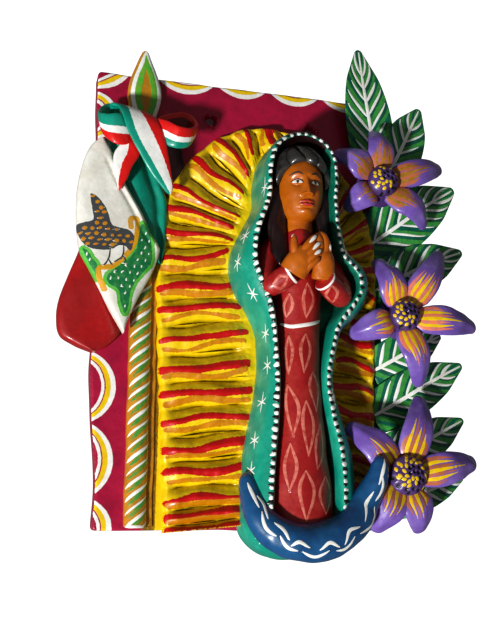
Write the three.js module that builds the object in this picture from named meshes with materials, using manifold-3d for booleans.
// A painted clay wall plaque: hand-formed figures, flag, rays, moon, leaves and flowers luted onto a flat slab.
// Millimetres. X runs right, Z up, the plaque faces -Y, and the origin is the middle of the slab's back face.
import * as THREE from "three";
import { mergeVertices } from "three/addons/utils/BufferGeometryUtils.js";
import Module from "manifold-3d";

const wasm = await Module();
wasm.setup();

// Backing slab, and the seam that every luted joint leaves
const SLAB_WIDTH = 180;
const SLAB_HEIGHT = 274;
const SLAB_THICK = 12;
const SLAB_CORNER = 4;
const SLAB_LEAN = 5;
const SEAM = 0.3;
const HOLE_RADIUS = 3.6;
const HOLE_DROP = 24;
const HOLE_LEFT_X = -20;
const HOLE_RIGHT_X = 45;

const SEAT = SLAB_THICK + SEAM;
const SLAB_TOP = SLAB_HEIGHT / 2;
const SLAB_FOOT = -SLAB_HEIGHT / 2;
const SLAB_RIGHT = SLAB_WIDTH / 2;
const SLAB_LEFT = -SLAB_WIDTH / 2;

// Figure: heights in its tables are measured up from the slab's lower edge
const FIGURE_X = 27;
const TROUGH_RISE = 12;
const BED = 1;
const LIP_WIDTH = 3.6;
const LIP_WALL = 1.5;
const TROUGH = SEAT + TROUGH_RISE;

// Hooded mantle's front edge: height above the slab's lower edge, and distance from the figure's axis
const LIP_LEFT = [
  [-3, 12], [4, 19], [21, 21], [48, 19], [64, 18], [87, 17], [112, 19], [129, 23],
  [140, 26], [151, 28], [165, 27], [176, 24], [188, 20], [206, 19], [217, 16.5], [224, 11],
];
const LIP_RIGHT = [
  [-3, 12], [4, 20], [25, 22], [48, 20], [65, 16], [84, 13.8], [104, 17], [117, 21],
  [128, 29], [137, 34], [146, 33], [157, 23], [170, 20], [190, 18.5], [207, 19], [217, 17.5], [224, 12],
];
const LIP_APEX = 228;
const LIP_NADIR = -5;

// Mantle's flank: height, and how far its foot stands outside the front edge or how high the lip stands
const FLARE = [[-5, 12], [35, 12], [87, 5], [112, 6], [145, 11], [180, 5], [205, 4], [228, 4]];
const LIP_RISE = [[-5, 33], [100, 33], [140, 36], [185, 39], [228, 40]];
const RAYS_CLEAR = 5;

// Dress: height, half width, front above the slab
const DRESS = [
  [-3, 19, 34], [24, 17.5, 35], [47, 14.5, 35], [77, 12, 34], [94, 11.7, 33], [114, 12, 32], [130, 14, 35],
  [146, 17, 36], [158, 17, 32], [166, 12, 29], [172, 8.5, 27],
];
const HEAD_HEIGHT = 43;
const HEAD_WIDTH = 28;
const HEAD_DEPTH = 29;
const HEAD_MID = 196;
const HEAD_OUT = 30;
const NECK_RADIUS = 7;
const NECK_LENGTH = 12;
const HAIR_COVER = 3.2;
const HAIR_DROP = 58;
const ARM_RADIUS = 7.2;
const CUFF_RADIUS = 6.4;
const CUFF_OUT = 43;
const HAND_LENGTH = 24;
const HAND_HALF_WIDTH = 7;
const HAND_HALF_THICK = 4.6;

// Crescent moon under the figure
const MOON_X = 29;
const MOON_RADIUS = 37;
const MOON_MID = 30.5;
const MOON_FAT = 10.6;
const MOON_HORN = 3;
const MOON_OUT = 33;
const MOON_HORN_OUT = 20;

// Ray mandorla round the figure
const RAYS_X = 16;
const RAYS_HALF_WIDTH = 68;
const RAYS_TAPER = 0.05;
const RAYS_SPRING = 159;
const RAYS_ARCH = 88;
const RAYS_COUNT = 35;
const RAYS_RIM_RISE = 5;
const RAYS_INNER_RISE = 9;
const RAYS_PLEAT = 2.6;
const RAYS_RIM_WAVE = 1.2;
const RAYS_FOOT = 3;
const RAYS_LIFT = 8;

// Flag pole, spear tip and flag: measured from the slab's left edge and down from its top edge
const POLE_IN = 28;
const POLE_HALF_WIDTH = 6.3;
const POLE_RISE = 6.5;
const POLE_FLANGE = 3.4;
const POLE_FLANGE_RISE = 1.6;
const POLE_FOOT = 2;
const SPEAR_OVER = 13;
const SPEAR_LENGTH = 50;
const SPEAR_HALF_WIDTH = 10.5;
const SPEAR_RISE = 7;
const FLAG_GREEN_RISE = 8.4;
const FLAG_RED_RISE = 8.5;
const FLAG_WHITE_LIFT = 8.8;
const FLAG_WHITE_THICK = 6;
const FLAG_FOLD = 2;

// Flag panels' edges: level down from the slab's top edge, and distance from the pole's axis
const FLAG_GREEN = {
  left: [[42, -20], [70, -14], [100, -8], [122, 3]],
  right: [[42, -14], [60, -3], [76, 13], [92, 14], [108, 12], [122, 6]],
};
const FLAG_RED = {
  left: [[112, -36], [132, -42.5], [146, -47], [157, -48], [167, -45], [172, -38.5], [175.5, -28]],
  right: [[112, -16], [140, -12], [158, -11], [165, -12], [172, -19], [175.5, -25]],
};
const FLAG_WHITE = {
  left: [[48, -26], [64, -36], [83, -40], [105, -39.5], [119, -37], [129, -31.5],
    [142, -24], [153, -18.5], [165, -11.5]],
  right: [[48, -24], [63, -18], [77, -11], [93, -2], [105, 4], [114, 9],
    [128, 5], [143, -2], [158, -8.5], [165, -10]],
};

// Bow on the flag: knot and loops
const BOW_IN = 6;
const BOW_DROP = 40;
const BOW_LEFT_REACH = 25;
const BOW_RIGHT_REACH = 36;
const BOW_HALF_HEIGHT = 11;
const BOW_HALF_DEPTH = 11;
const BOW_OUT = 13;
const BOW_MOUTH = 2.4;

// Bow's tails: distance from the pole's axis, level down from the slab's top edge, height above the seat
const TAIL_LONG = [[-18, 35, 23], [-8, 44, 23], [3, 60, 18], [12, 82, 12]];
const TAIL_SHORT = [[-15, 50, 16], [-17, 66, 15], [-20, 84, 14]];
const TAIL_LONG_HALF = 9;
const TAIL_SHORT_HALF = 7.5;
const TAIL_THICK = 2;

// Leaves and flowers along the slab's right edge
const LEAF_THICK = 3.6;
const LEAF_OUT = 1.4;
const LEAF_ARCH = 6.5;
const STEM_RADIUS = 6;
const BUTTON_RADIUS = 9.8;
const BUTTON_RISE = 9.5;
const BUTTON_RIM = 3;
const PETAL_OUT = 22;
const PETAL_THICK = 5;
const PETAL_HALF_WIDTH = 11;
const PETAL_DROOP = 7;
const PETAL_ARCH = 4;

// Plaque coordinates to model coordinates: x right, z up, h out from the wall
const at = (x, z, h) => new THREE.Vector3(x, -h, z);

// Smooth curve through [place, value] pairs
function through(pairs) {
  const slope = (i) => {
    const a = pairs[Math.max(i - 1, 0)];
    const b = pairs[Math.min(i + 1, pairs.length - 1)];
    return (b[1] - a[1]) / (b[0] - a[0]);
  };
  return (place) => {
    const last = pairs.length - 1;
    if (place <= pairs[0][0]) return pairs[0][1];
    if (place >= pairs[last][0]) return pairs[last][1];
    const i = pairs.findIndex((pair) => pair[0] > place) - 1;
    const [x0, y0] = pairs[i];
    const [x1, y1] = pairs[i + 1];
    const t = (place - x0) / (x1 - x0);
    const gap = x1 - x0;
    return (2 * t ** 3 - 3 * t ** 2 + 1) * y0 + (t ** 3 - 2 * t ** 2 + t) * gap * slope(i)
      + (3 * t ** 2 - 2 * t ** 3) * y1 + (t ** 3 - t ** 2) * gap * slope(i + 1);
  };
}

// One closed, outward-facing geometry from points and triangles
function close(points, triangles) {
  const loose = new THREE.BufferGeometry();
  loose.setAttribute("position", new THREE.Float32BufferAttribute(points.flatMap((p) => [p.x, p.y, p.z]), 3));
  loose.setIndex(triangles);
  const merged = mergeVertices(loose, 1e-3);
  const index = merged.index.array;
  const kept = [];
  for (let i = 0; i < index.length; i += 3) {
    const [a, b, c] = [index[i], index[i + 1], index[i + 2]];
    if (a !== b && b !== c && a !== c) kept.push(a, b, c);
  }
  merged.setIndex(volume(merged.attributes.position, kept) < 0 ? kept.reverse() : kept);
  return merged;
}

function volume(position, index) {
  const [a, b, c] = [0, 1, 2].map(() => new THREE.Vector3());
  let total = 0;
  for (let i = 0; i < index.length; i += 3) {
    a.fromBufferAttribute(position, index[i]);
    b.fromBufferAttribute(position, index[i + 1]);
    c.fromBufferAttribute(position, index[i + 2]);
    total += a.dot(b.cross(c));
  }
  return total;
}

// A skin of rings, closed at both ends by a fan of triangles
function loft(rings) {
  const count = rings[0].length;
  const points = rings.flat();
  const triangles = [];
  for (let i = 0; i + 1 < rings.length; i += 1) {
    for (let j = 0; j < count; j += 1) {
      const [a, b] = [i * count + j, i * count + ((j + 1) % count)];
      triangles.push(a, b, b + count, a, b + count, a + count);
    }
  }
  const fan = (ring, first, forward) => {
    const hub = points.length;
    points.push(ring.reduce((sum, p) => sum.add(p), new THREE.Vector3()).divideScalar(count));
    for (let j = 0; j < count; j += 1) {
      const [a, b] = [first + j, first + ((j + 1) % count)];
      triangles.push(...(forward ? [hub, b, a] : [hub, a, b]));
    }
  };
  fan(rings[0], 0, true);
  fan(rings[rings.length - 1], (rings.length - 1) * count, false);
  return close(points, triangles);
}

// A hand-rolled strip along a curve: half(t) across it, thick(t) out of the wall, cup(t) lifting its edges
function strip({ spine, half, thick, cup = () => 0, square = 1, sides = 10, steps = 9, seat = -Infinity }) {
  const curve = new THREE.CatmullRomCurve3(spine);
  const forward = new THREE.Vector3(0, -1, 0);
  const rings = [];
  for (let i = 0; i <= steps; i += 1) {
    const t = i / steps;
    const middle = curve.getPoint(t);
    const tangent = curve.getTangent(t);
    const side = tangent.clone().cross(forward).normalize();
    const out = side.clone().cross(tangent).normalize();
    const ring = [];
    for (let j = 0; j < sides; j += 1) {
      const angle = (2 * Math.PI * j) / sides;
      const across = Math.sign(Math.cos(angle)) * Math.abs(Math.cos(angle)) ** square;
      const lift = Math.sin(angle) * thick(t) + cup(t) * across ** 2;
      const point = middle.clone().addScaledVector(side, across * half(t)).addScaledVector(out, lift);
      point.y = Math.min(point.y, -seat);
      ring.push(point);
    }
    rings.push(ring);
  }
  return loft(rings);
}

// Level rings, each [z, x, h, half width, reach forward, reach back], flattened at the seat behind
function tower(levels, seat, sides = 16) {
  return loft(levels.map(([z, x, h, half, front, back]) => {
    const ring = [];
    for (let j = 0; j < sides; j += 1) {
      const angle = (2 * Math.PI * j) / sides;
      const reach = Math.sin(angle) > 0 ? front : back;
      ring.push(at(x + half * Math.cos(angle), z, Math.max(h + reach * Math.sin(angle), seat)));
    }
    return ring;
  }));
}

// A relief: a front skin of rows is walled down to the seat plane and closed by a flat back between its first and
// last rows. In a ring the last row folds onto itself, so that only the first row has a wall.
function relief(rows, seat, ring) {
  const columns = rows[0].length;
  const last = rows.length - 1;
  const flatten = (row) => row.map((p) => new THREE.Vector3(p.x, -seat, p.z));
  const points = [...rows, flatten(rows[last]), flatten(rows[0])].flat();
  const triangles = [];
  const span = ring ? columns : columns - 1;
  for (let i = 0; i < rows.length + 2; i += 1) {
    const next = (i + 1) % (rows.length + 2);
    if (ring && i === last) continue;
    for (let j = 0; j < span; j += 1) {
      const k = (j + 1) % columns;
      const [a, b] = [i * columns, next * columns];
      triangles.push(a + j, a + k, b + k, a + j, b + k, b + j);
    }
  }
  if (!ring) {
    const corner = (last + 2) * columns;
    for (let i = 0; i <= last; i += 1) {
      const [a, b] = [i * columns, (i + 1) * columns];
      triangles.push(corner, a, b, corner + span, b + span, a + span);
    }
  }
  return close(points, triangles);
}

// Manifold solids, the same shapes swollen by the seam, and geometries back
function solid(geometry) {
  const vertProperties = new Float32Array(geometry.attributes.position.array);
  const triVerts = new Uint32Array(geometry.index.array);
  return new wasm.Manifold(new wasm.Mesh({ numProp: 3, vertProperties, triVerts }));
}

function swollen(geometry, gap) {
  const { position } = geometry.attributes;
  const index = geometry.index.array;
  const sums = Array.from({ length: position.count }, () => (
    { rows: Array(9).fill(0), push: new THREE.Vector3() }));
  const [a, b, c] = [0, 1, 2].map(() => new THREE.Vector3());
  for (let i = 0; i < index.length; i += 3) {
    a.fromBufferAttribute(position, index[i]);
    b.fromBufferAttribute(position, index[i + 1]);
    c.fromBufferAttribute(position, index[i + 2]);
    const n = b.sub(a).cross(c.sub(a)).normalize().toArray();
    for (const k of [0, 1, 2].map((j) => index[i + j])) {
      for (let r = 0; r < 9; r += 1) sums[k].rows[r] += n[Math.floor(r / 3)] * n[r % 3];
      sums[k].push.add(new THREE.Vector3(...n));
    }
  }
  const moved = geometry.clone();
  const softness = 0.08;
  sums.forEach(({ rows, push }, k) => {
    const system = rows.map((value, r) => value + (r % 4 === 0 ? softness : 0));
    const shift = push.multiplyScalar(gap).applyMatrix3(new THREE.Matrix3().set(...system).invert());
    a.fromBufferAttribute(position, k).add(shift.clampLength(0, 2 * gap));
    moved.attributes.position.setXYZ(k, a.x, a.y, a.z);
  });
  return solid(moved);
}

function back(manifold) {
  const mesh = manifold.getMesh();
  const geometry = new THREE.BufferGeometry();
  geometry.setAttribute("position", new THREE.Float32BufferAttribute(mesh.vertProperties, 3));
  geometry.setIndex(Array.from(mesh.triVerts));
  return geometry;
}

// Backing slab with its two hanging holes; its left edge leans in towards the foot
function backingSlab() {
  const outline = new THREE.Shape();
  const [x, z, r] = [SLAB_WIDTH / 2, SLAB_HEIGHT / 2, SLAB_CORNER];
  outline.moveTo(-x + SLAB_LEAN + r, -z).lineTo(x - r, -z).absarc(x - r, -z + r, r, -Math.PI / 2, 0);
  outline.absarc(x - r, z - r, r, 0, Math.PI / 2).absarc(-x + r, z - r, r, Math.PI / 2, Math.PI);
  outline.absarc(-x + SLAB_LEAN + r, -z + r, r, Math.PI, 1.5 * Math.PI);
  for (const hole of [HOLE_LEFT_X, HOLE_RIGHT_X]) {
    outline.holes.push(new THREE.Path().absarc(hole, SLAB_TOP - HOLE_DROP, HOLE_RADIUS, 0, 2 * Math.PI, true));
  }
  const plate = new THREE.ExtrudeGeometry(outline, { depth: SLAB_THICK, bevelEnabled: false, curveSegments: 5 });
  plate.rotateX(Math.PI / 2);
  plate.deleteAttribute("normal");
  plate.deleteAttribute("uv");
  const merged = mergeVertices(plate, 1e-4);
  const points = [];
  for (let i = 0; i < merged.attributes.position.count; i += 1) {
    points.push(new THREE.Vector3().fromBufferAttribute(merged.attributes.position, i));
  }
  return close(points, Array.from(merged.index.array));
}

// Hooded mantle: its front edge is a closed curve, and everything else is set off from it
const lipCurve = new THREE.CatmullRomCurve3([
  at(FIGURE_X, SLAB_FOOT + LIP_NADIR, 0),
  ...LIP_LEFT.map(([z, half]) => at(FIGURE_X - half, SLAB_FOOT + z, 0)),
  at(FIGURE_X, SLAB_FOOT + LIP_APEX, 0),
  ...LIP_RIGHT.map(([z, half]) => at(FIGURE_X + half, SLAB_FOOT + z, 0)).reverse(),
], true, "centripetal");
lipCurve.arcLengthDivisions = 800;

const flareAt = through(FLARE);
const lipRiseAt = through(LIP_RISE);

// A point of the mantle's plan: share u round the edge, set off outwards by so much
function mantlePlan(u, offset) {
  const point = lipCurve.getPointAt(((u % 1) + 1) % 1);
  const tangent = lipCurve.getTangentAt(((u % 1) + 1) % 1);
  const outward = new THREE.Vector3(-tangent.z, 0, tangent.x).normalize();
  return point.addScaledVector(outward, offset);
}

function mantle() {
  const columns = 56;
  const rows = [];
  const profile = [
    [(f) => f, () => 0.16], [(f) => f + 0.6, () => 0.45], [(f) => 0.72 * f + 1, () => 0.75],
    [(f) => 0.35 * f + LIP_WIDTH / 2, () => 0.93], [() => LIP_WIDTH / 2, () => 1], [() => 0, () => 0.95],
  ];
  for (const [offset, share] of profile) {
    const row = [];
    for (let j = 0; j < columns; j += 1) {
      const u = j / columns;
      const height = mantlePlan(u, 0).z - SLAB_FOOT;
      const point = mantlePlan(u, offset(flareAt(height)));
      row.push(at(point.x, point.z, SEAT + lipRiseAt(height) * share()));
    }
    rows.push(row);
  }
  const floor = [];
  const spine = [];
  for (let j = 0; j < columns; j += 1) {
    const point = mantlePlan(j / columns, -LIP_WALL);
    floor.push(at(point.x, point.z, TROUGH));
    const share = 1 - Math.abs((2 * j) / columns - 1);
    spine.push(at(FIGURE_X, THREE.MathUtils.lerp(SLAB_FOOT + 8, SLAB_FOOT + LIP_APEX - 14, share), TROUGH));
  }
  rows.push(floor, spine);
  return relief(rows, SEAT, true);
}

// Figure: dress, head, hair, sleeves and praying hands
const BODY_SEAT = TROUGH - BED;

function dress() {
  return tower(DRESS.map(([z, half, front]) => {
    const mid = TROUGH + 2;
    return [SLAB_FOOT + z, FIGURE_X, mid, half, SEAT + front - mid, 4];
  }), BODY_SEAT, 18);
}

function head() {
  const mid = SEAT + HEAD_OUT;
  const centre = SLAB_FOOT + HEAD_MID;
  const [half, high, deep] = [HEAD_WIDTH / 2, HEAD_HEIGHT / 2, HEAD_DEPTH / 2];
  const chin = centre - high;
  const neck = chin - NECK_LENGTH;
  const levels = [
    [neck, mid - 3, NECK_RADIUS + 1, NECK_RADIUS, NECK_RADIUS],
    [chin - 1, mid - 2, NECK_RADIUS, NECK_RADIUS, NECK_RADIUS],
    [chin + 0.03 * HEAD_HEIGHT, mid, 0.42 * half, 0.72 * deep, NECK_RADIUS],
    [chin + 0.14 * HEAD_HEIGHT, mid, 0.68 * half, 0.93 * deep, 0.6 * deep],
    [centre - 0.22 * HEAD_HEIGHT, mid, 0.86 * half, 0.97 * deep, 0.8 * deep],
    [centre - 0.1 * HEAD_HEIGHT, mid, 0.96 * half, 1.08 * deep, 0.95 * deep],
    [centre + 0.06 * HEAD_HEIGHT, mid, half, 0.97 * deep, deep],
    [centre + 0.2 * HEAD_HEIGHT, mid, 0.97 * half, 0.99 * deep, deep],
    [centre + 0.34 * HEAD_HEIGHT, mid, 0.82 * half, 0.85 * deep, 0.85 * deep],
    [centre + 0.44 * HEAD_HEIGHT, mid, 0.55 * half, 0.56 * deep, 0.55 * deep],
    [centre + 0.49 * HEAD_HEIGHT, mid, 0.24 * half, 0.25 * deep, 0.25 * deep],
  ];
  return tower(levels.map(([z, h, ...rest]) => [z, FIGURE_X, h, ...rest]), BODY_SEAT, 16);
}

function hair() {
  const mid = SEAT + HEAD_OUT;
  const centre = SLAB_FOOT + HEAD_MID;
  const [half, deep] = [HEAD_WIDTH / 2 + HAIR_COVER, HEAD_DEPTH / 2 + HAIR_COVER];
  const crown = centre + HEAD_HEIGHT / 2 + HAIR_COVER;
  const levels = [
    [centre - HAIR_DROP, 0.95 * half, 3, deep], [centre - 0.9 * HEAD_HEIGHT, 1.02 * half, 3, deep],
    [centre - 0.5 * HEAD_HEIGHT, half, 2, deep], [centre, half, 1, deep], [centre + 0.2 * HEAD_HEIGHT, half, 2, deep],
    [centre + 0.26 * HEAD_HEIGHT, 0.98 * half, 0.97 * deep, deep],
    [centre + 0.38 * HEAD_HEIGHT, 0.84 * half, 0.84 * deep, deep],
    [centre + 0.47 * HEAD_HEIGHT, 0.6 * half, 0.6 * deep, 0.7 * deep], [crown, 0.25 * half, 0.25 * deep, 0.3 * deep],
  ];
  const toBed = mid - BODY_SEAT;
  const rings = levels.map(([z, w, front, rear]) => [z, FIGURE_X, mid, w, front, Math.max(rear, toBed)]);
  return tower(rings, BODY_SEAT, 16);
}

// Arms come down from the shoulder to the elbow and up again to the cuff
const arms = {
  left: { side: -1, shoulder: 158, elbow: 136, elbowOut: 25, cuff: 143, cuffOut: 8.5 },
  right: { side: 1, shoulder: 158, elbow: 132, elbowOut: 27, cuff: 140, cuffOut: 9.5 },
};

function sleeve({ side, shoulder, elbow, elbowOut, cuff, cuffOut }) {
  return strip({
    spine: [
      at(FIGURE_X + side * 15, SLAB_FOOT + shoulder, SEAT + 24),
      at(FIGURE_X + side * (elbowOut - 3), SLAB_FOOT + elbow + 9, SEAT + 28),
      at(FIGURE_X + side * (elbowOut - 4), SLAB_FOOT + elbow + 1, SEAT + 33),
      at(FIGURE_X + side * cuffOut, SLAB_FOOT + cuff, SEAT + CUFF_OUT - 1),
    ],
    half: (t) => THREE.MathUtils.lerp(ARM_RADIUS, CUFF_RADIUS, t),
    thick: (t) => THREE.MathUtils.lerp(ARM_RADIUS, CUFF_RADIUS, t),
    sides: 12,
    seat: BODY_SEAT,
  });
}

function hand({ side, cuff, cuffOut }) {
  const tipShare = through([[0, 0.85], [0.25, 1], [0.6, 0.86], [0.9, 0.5], [1, 0.28]]);
  const rise = side < 0 ? HAND_LENGTH : HAND_LENGTH - 1;
  return strip({
    spine: [
      at(FIGURE_X + side * (cuffOut - 1.5), SLAB_FOOT + cuff + 1, SEAT + CUFF_OUT + 0.5),
      at(FIGURE_X + side * (cuffOut - 3), SLAB_FOOT + cuff + 0.45 * rise, SEAT + CUFF_OUT + 4),
      at(FIGURE_X + side * 2.4 + 1.5, SLAB_FOOT + cuff + rise, SEAT + CUFF_OUT + 5),
    ],
    half: (t) => HAND_HALF_WIDTH * tipShare(t),
    thick: (t) => HAND_HALF_THICK * Math.sqrt(tipShare(t)),
    sides: 12,
  });
}

// Crescent moon: a roll of clay bent to an arc, fat in the middle, drawn out to the horns
function crescentMoon() {
  const [from, to] = [1.02 * Math.PI, 2.07 * Math.PI];
  const spine = [];
  for (let i = 0; i <= 10; i += 1) {
    const share = i / 10;
    const angle = THREE.MathUtils.lerp(from, to, share);
    const out = THREE.MathUtils.lerp(MOON_HORN_OUT, MOON_OUT, Math.sin(Math.PI * share) ** 0.8);
    const z = SLAB_FOOT + MOON_MID + MOON_RADIUS * Math.sin(angle);
    spine.push(at(MOON_X + MOON_RADIUS * Math.cos(angle), z, SEAT + out));
  }
  const swell = (t) => MOON_HORN + (MOON_FAT - MOON_HORN) * Math.sin(Math.PI * t) ** 0.75;
  return strip({ spine, half: swell, thick: (t) => 0.95 * swell(t), sides: 14, steps: 24, seat: SEAT });
}

// Ray mandorla: pleats between an arched rim and the mantle's foot
function raysRim(w, offset) {
  const spring = SLAB_FOOT + RAYS_SPRING;
  const straight = RAYS_SPRING - RAYS_FOOT;
  const arch = (Math.PI / 2) * Math.sqrt((RAYS_HALF_WIDTH ** 2 + RAYS_ARCH ** 2) / 2);
  const run = (1 - Math.abs(2 * w - 1)) * (straight + arch);
  const side = w < 0.5 ? -1 : 1;
  if (run < straight) {
    const z = SLAB_FOOT + RAYS_FOOT + run;
    return new THREE.Vector2(RAYS_X + side * (RAYS_HALF_WIDTH - RAYS_TAPER * (spring - z) + offset), z);
  }
  const angle = ((run - straight) / arch) * (Math.PI / 2);
  return new THREE.Vector2(
    RAYS_X + side * (RAYS_HALF_WIDTH + offset) * Math.cos(angle),
    spring + (RAYS_ARCH + offset) * Math.sin(angle));
}

// Share round the mantle's edge whose foot stands at a height, on the left half
function mantleShare(z) {
  let [low, high] = [0.02, 0.5];
  for (let i = 0; i < 30; i += 1) {
    const middle = (low + high) / 2;
    if (mantlePlan(middle, RAYS_CLEAR).z < z) low = middle;
    else high = middle;
  }
  return low;
}

function rayMandorla() {
  const perPleat = 4;
  const columns = RAYS_COUNT * perPleat;
  const footShare = mantleShare(SLAB_FOOT + RAYS_FOOT + RAYS_LIFT);
  const springShare = mantleShare(SLAB_FOOT + RAYS_SPRING + RAYS_LIFT);
  const arch = (Math.PI / 2) * Math.sqrt((RAYS_HALF_WIDTH ** 2 + RAYS_ARCH ** 2) / 2);
  const corner = (RAYS_SPRING - RAYS_FOOT) / (RAYS_SPRING - RAYS_FOOT + arch);
  const innerShare = (w) => {
    const half = 1 - Math.abs(2 * w - 1);
    const u = half < corner
      ? THREE.MathUtils.lerp(footShare, springShare, half / corner)
      : THREE.MathUtils.lerp(springShare, 0.5, (half - corner) / (1 - corner));
    return w < 0.5 ? u : 1 - u;
  };
  const stations = [0, 0.12, 0.78, 0.9, 1];
  const rows = stations.map((v) => {
    const row = [];
    for (let j = 0; j <= columns; j += 1) {
      const w = j / columns;
      const pleat = Math.abs(Math.sin((Math.PI * j) / perPleat));
      const rim = raysRim(w, RAYS_RIM_WAVE * (pleat - 1));
      const inner = mantlePlan(innerShare(w), 3);
      const fade = v > 0.85 ? 0 : v < 0.05 ? 0.35 : 1;
      const ground = THREE.MathUtils.lerp(RAYS_RIM_RISE, RAYS_INNER_RISE, v);
      const height = SEAT + ground + RAYS_PLEAT * fade * (pleat - 0.5);
      row.push(at(THREE.MathUtils.lerp(rim.x, inner.x, v), THREE.MathUtils.lerp(rim.y, inner.z, v), height));
    }
    return row;
  });
  return relief(rows, SEAT, false);
}

// Flag pole with the thin flange at its side, and the spear tip above it
const POLE_X = SLAB_LEFT + POLE_IN;

function flagPole() {
  const rings = [];
  const top = SLAB_TOP + SPEAR_OVER - SPEAR_LENGTH - SEAM;
  for (let i = 0; i <= 6; i += 1) {
    const z = THREE.MathUtils.lerp(SLAB_FOOT + POLE_FOOT, top, i / 6);
    const ring = [];
    for (let j = 0; j <= 8; j += 1) {
      const angle = Math.PI * (1 - j / 8);
      const rise = POLE_FLANGE_RISE + (POLE_RISE - POLE_FLANGE_RISE) * Math.sin(angle);
      ring.push(at(POLE_X + POLE_HALF_WIDTH * Math.cos(angle), z, SEAT + rise));
    }
    ring.push(at(POLE_X + POLE_HALF_WIDTH + POLE_FLANGE, z, SEAT + POLE_FLANGE_RISE));
    ring.push(at(POLE_X + POLE_HALF_WIDTH + POLE_FLANGE, z, SEAT), at(POLE_X - POLE_HALF_WIDTH, z, SEAT));
    rings.push(ring);
  }
  return loft(rings);
}

function spearTip() {
  const tip = SLAB_TOP + SPEAR_OVER;
  const swell = through([[0, 0.55], [0.35, 1], [0.6, 0.86], [0.85, 0.36], [1, 0.05]]);
  return strip({
    spine: [tip - SPEAR_LENGTH, tip].map((z) => at(POLE_X - 1, z, SEAT + 0.4 * SPEAR_RISE)),
    half: (t) => SPEAR_HALF_WIDTH * swell(t),
    thick: (t) => SPEAR_RISE * (0.4 + 0.2 * swell(t)),
    seat: SEAT,
    steps: 8,
  });
}

// A hanging panel: rings at falling levels between its left and right edges, each pair [level, x]
function panel({ left, right, levels, base, rise, fold }) {
  const [from, to] = [through(left), through(right)];
  const top = left[left.length - 1][0];
  const bottom = left[0][0];
  const rings = [];
  for (let i = 0; i <= levels; i += 1) {
    const z = THREE.MathUtils.lerp(bottom, top, i / levels);
    const [a, b] = [POLE_X + from(z), POLE_X + to(z)];
    const ring = [];
    for (let j = 0; j < 14; j += 1) {
      const angle = (2 * Math.PI * j) / 14;
      const across = Math.sign(Math.cos(angle)) * Math.abs(Math.cos(angle)) ** 0.7;
      const u = (across + 1) / 2;
      const front = Math.sin(angle) > 0 ? rise + fold(u, z) : 0;
      const height = Math.sin(angle) > 0 ? Math.sin(angle) ** 0.5 * front : 0;
      ring.push(at(THREE.MathUtils.lerp(a, b, u), SLAB_TOP - z, SEAT + base + Math.max(height, 0)));
    }
    rings.push(ring);
  }
  return loft(rings);
}

const flagGreen = () => panel({
  ...FLAG_GREEN, levels: 9, base: 0, rise: FLAG_GREEN_RISE,
  fold: (u) => -FLAG_FOLD * Math.sin(Math.PI * u) ** 2,
});
const flagRed = () => panel({
  ...FLAG_RED, levels: 11, base: 0, rise: FLAG_RED_RISE, fold: (u) => -0.5 * FLAG_FOLD * u,
});
const flagWhite = () => panel({
  ...FLAG_WHITE, levels: 13, base: FLAG_WHITE_LIFT, rise: FLAG_WHITE_THICK, fold: (u) => FLAG_FOLD * (u - 0.5),
});

// Bow: two puffed loops, each opened by a slot, and two tails
function bowLoop(side) {
  const knot = POLE_X - BOW_IN;
  const reach = side > 0 ? BOW_RIGHT_REACH : BOW_LEFT_REACH;
  const z = SLAB_TOP - BOW_DROP;
  const swell = through([[0, 0.5], [0.3, 0.9], [0.65, 1], [0.9, 0.72], [1, 0.35]]);
  const pod = solid(strip({
    spine: [at(knot + side * 2, z, SEAT + BOW_OUT + 3), at(knot + side * reach, z, SEAT + BOW_OUT)],
    half: (t) => BOW_HALF_HEIGHT * swell(t),
    thick: (t) => BOW_HALF_DEPTH * swell(t),
    sides: 10, steps: 7, seat: SEAT,
  }));
  const mouthAt = knot + side * reach * 0.66;
  const slot = strip({
    spine: [at(mouthAt, z, SEAT + BOW_OUT - 2), at(mouthAt, z + 7, SEAT + BOW_OUT + 2 * BOW_HALF_DEPTH)],
    half: () => BOW_MOUTH,
    thick: () => BOW_MOUTH,
    sides: 8, steps: 2,
  });
  slot.translate(-mouthAt, 0, 0).scale(reach / 12, 1, 1).translate(mouthAt, 0, 0);
  return back(pod.subtract(solid(slot)));
}

const taperTail = through([[0, 0.8], [0.25, 1], [0.6, 0.8], [0.9, 0.4], [1, 0.12]]);

const tail = (path, half, steps) => strip({
  spine: path.map(([x, level, h]) => at(POLE_X + x, SLAB_TOP - level, SEAT + h)),
  half: (t) => half * taperTail(t), thick: () => TAIL_THICK, square: 0.6, steps,
});

// Leaves: share of the slab's height where each springs from its right edge, reach of the tip, half width
const LEAVES = [
  { share: 0.83, inset: 9, tip: [-5, 80], half: 14, bow: 1 },
  { share: 0.85, inset: 2, tip: [34, 38], half: 12, bow: 1 },
  { share: 0.64, inset: 6, tip: [54, 41], half: 15, bow: 4 },
  { share: 0.545, inset: 3, tip: [55, 26], half: 13, bow: 3 },
  { share: 0.36, inset: 6, tip: [41, 22], half: 12, bow: 2 },
  { share: 0.26, inset: 7, tip: [54, 28], half: 14, bow: 3 },
  { share: 0.165, inset: 4, tip: [50, 20], half: 13, bow: 3 },
  { share: 0.03, inset: 2, tip: [46, 24], half: 12, bow: 3 },
];

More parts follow.
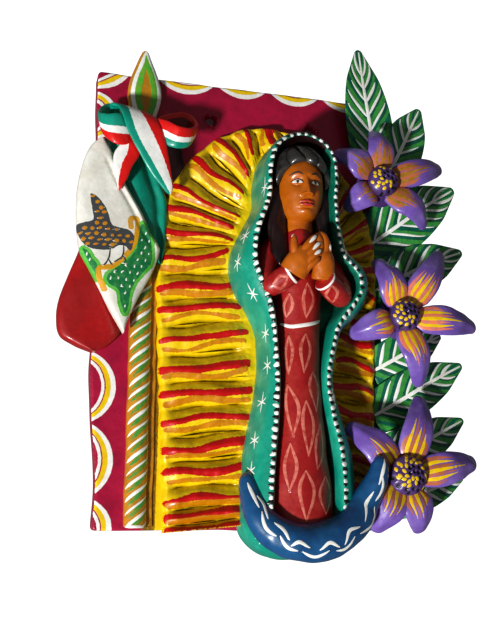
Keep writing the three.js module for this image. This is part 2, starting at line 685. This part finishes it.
function leaf({ share, inset, tip, half, bow }) {
  const [x, z] = [SLAB_RIGHT - inset, SLAB_FOOT + share * SLAB_HEIGHT];
  const length = Math.hypot(...tip);
  const [nx, nz] = [-tip[1] / length, tip[0] / length];
  const swell = through([[0, 0.35], [0.25, 0.86], [0.5, 1], [0.75, 0.72], [0.92, 0.3], [1, 0.06]]);
  return strip({
    spine: [at(x, z, SEAT + LEAF_OUT),
      at(x + 0.5 * tip[0] + bow * nx, z + 0.5 * tip[1] + bow * nz, SEAT + LEAF_OUT + LEAF_ARCH),
      at(x + tip[0], z + tip[1], SEAT + LEAF_OUT + 0.6 * LEAF_ARCH)],
    half: (t) => half * swell(t),
    thick: (t) => 0.5 * LEAF_THICK * (0.6 + 0.4 * swell(t)),
    cup: (t) => 2 * swell(t),
    sides: 8,
    steps: 8,
    seat: SEAT,
  });
}

// Flowers: centre as inset from the right edge and share of the height, and the reach of each petal's tip
const FLOWERS = {
  upper: { inset: 9, share: 0.76, tips: [[0, 41], [47, 19], [34, -22], [-20, -15], [-27, 21]] },
  middle: { inset: -2, share: 0.46, tips: [[-10, 38], [32, 44], [54, -3], [15, -41], [-29, -11]] },
  lower: { inset: -1, share: 0.113, tips: [[14, 48], [48, 9], [12, -34], [-19, -31], [-33, 29]] },
};

function flowerCentre({ inset, share }) {
  const petalTop = PETAL_OUT + PETAL_THICK;
  const profile = [[0, 0], [STEM_RADIUS, 0], [STEM_RADIUS, petalTop], [BUTTON_RADIUS - 1, petalTop],
    [BUTTON_RADIUS, petalTop + BUTTON_RIM]].map(([r, h]) => new THREE.Vector2(r, h));
  for (let i = 1; i <= 5; i += 1) {
    const angle = (i / 5) * (Math.PI / 2);
    profile.push(new THREE.Vector2(
      i === 5 ? 0 : BUTTON_RADIUS * Math.cos(angle),
      petalTop + BUTTON_RIM + (BUTTON_RISE - BUTTON_RIM) * Math.sin(angle)));
  }
  const turned = new THREE.LatheGeometry(profile, 18);
  turned.deleteAttribute("normal");
  turned.deleteAttribute("uv");
  turned.rotateX(Math.PI / 2);
  const merged = mergeVertices(turned, 1e-4);
  const points = [];
  for (let i = 0; i < merged.attributes.position.count; i += 1) {
    const p = new THREE.Vector3().fromBufferAttribute(merged.attributes.position, i);
    points.push(at(SLAB_RIGHT - inset + p.x, SLAB_FOOT + share * SLAB_HEIGHT + p.y, SEAT + p.z));
  }
  return close(points, Array.from(merged.index.array));
}

function petal({ inset, share }, tip) {
  const [x, z] = [SLAB_RIGHT - inset, SLAB_FOOT + share * SLAB_HEIGHT];
  const length = Math.hypot(...tip);
  const [dx, dz] = [tip[0] / length, tip[1] / length];
  const start = STEM_RADIUS - 1;
  const wedge = Math.tan(Math.PI / 5);
  const swell = through([[0, 0.34], [0.2, 0.72], [0.42, 1], [0.65, 0.84], [0.88, 0.4], [1, 0.1]]);
  const middle = (start + length) / 2;
  return strip({
    spine: [at(x + dx * start, z + dz * start, SEAT + PETAL_OUT + 0.5 * PETAL_THICK),
      at(x + dx * middle, z + dz * middle, SEAT + PETAL_OUT + 0.5 * PETAL_THICK + PETAL_ARCH),
      at(x + dx * length, z + dz * length, SEAT + PETAL_OUT + 0.5 * PETAL_THICK - PETAL_DROOP)],
    half: (t) => Math.min(PETAL_HALF_WIDTH * swell(t), wedge * THREE.MathUtils.lerp(start, length, t)),
    thick: (t) => 0.5 * PETAL_THICK * Math.sqrt(swell(t)),
    sides: 8,
    steps: 7,
    seat: SEAT,
  });
}

// Every piece in the order in which it is luted on: a later piece is trimmed where an earlier one is in its way
const pieces = [];
const add = (name, geometry, color, roughness = 0.45) => pieces.push({ name, geometry, color, roughness });

add("backing_slab", backingSlab(), 0xb0164a);
add("flag_pole", flagPole(), 0xb98a25);
add("spear_tip", spearTip(), 0x2f9a4e);
add("crescent_moon", crescentMoon(), 0x1d5fa8);
add("hand_left", hand(arms.left), 0xd9792a);
add("hand_right", hand(arms.right), 0xd9792a);
add("sleeve_left", sleeve(arms.left), 0xa01a1c);
add("sleeve_right", sleeve(arms.right), 0xa01a1c);
add("head", head(), 0xd9792a);
add("hair", hair(), 0x26241f);
add("dress", dress(), 0x9a1618);
add("mantle", mantle(), 0x1fa884);
for (const [place, flower] of Object.entries(FLOWERS)) {
  add(`flower_${place}_centre`, flowerCentre(flower), 0x4b3170);
}
for (const [place, flower] of Object.entries(FLOWERS)) {
  flower.tips.forEach((tip, i) => add(`flower_${place}_petal_${i + 1}`, petal(flower, tip), 0x7a5fc0));
}
add("ray_mandorla", rayMandorla(), 0xf2cf0a);
LEAVES.forEach((spec, i) => add(`leaf_${i + 1}`, leaf(spec), 0x14704a));
add("flag_green_panel", flagGreen(), 0x0c8f6a);
add("flag_red_panel", flagRed(), 0xa81218);
add("flag_white_panel", flagWhite(), 0xf1f0ea);
add("bow_tail_short", tail(TAIL_SHORT, TAIL_SHORT_HALF, 7), 0xd01c1c);
add("bow_tail_long", tail(TAIL_LONG, TAIL_LONG_HALF, 10), 0xf1f0ea);
add("bow_loop_left", bowLoop(-1), 0xc81a1a);
add("bow_loop_right", bowLoop(1), 0xc81a1a);

const meet = (a, b) => {
  const [p, q] = [a.boundingBox(), b.boundingBox()];
  return [0, 1, 2].every((k) => p.min[k] < q.max[k] && q.min[k] < p.max[k]);
};

const group = new THREE.Group();
const placed = [];
for (const { name, geometry, color, roughness } of pieces) {
  let body = solid(geometry);
  for (const earlier of placed) {
    if (meet(body, earlier)) body = body.subtract(earlier);
  }
  const lumps = body.decompose().sort((a, b) => b.volume() - a.volume());
  if (name !== "backing_slab") placed.push(swollen(geometry, SEAM));
  const paint = new THREE.MeshStandardMaterial({ color, roughness, metalness: 0 });
  const mesh = new THREE.Mesh(back(lumps[0]), paint);
  mesh.name = name;
  group.add(mesh);
}

export default group;
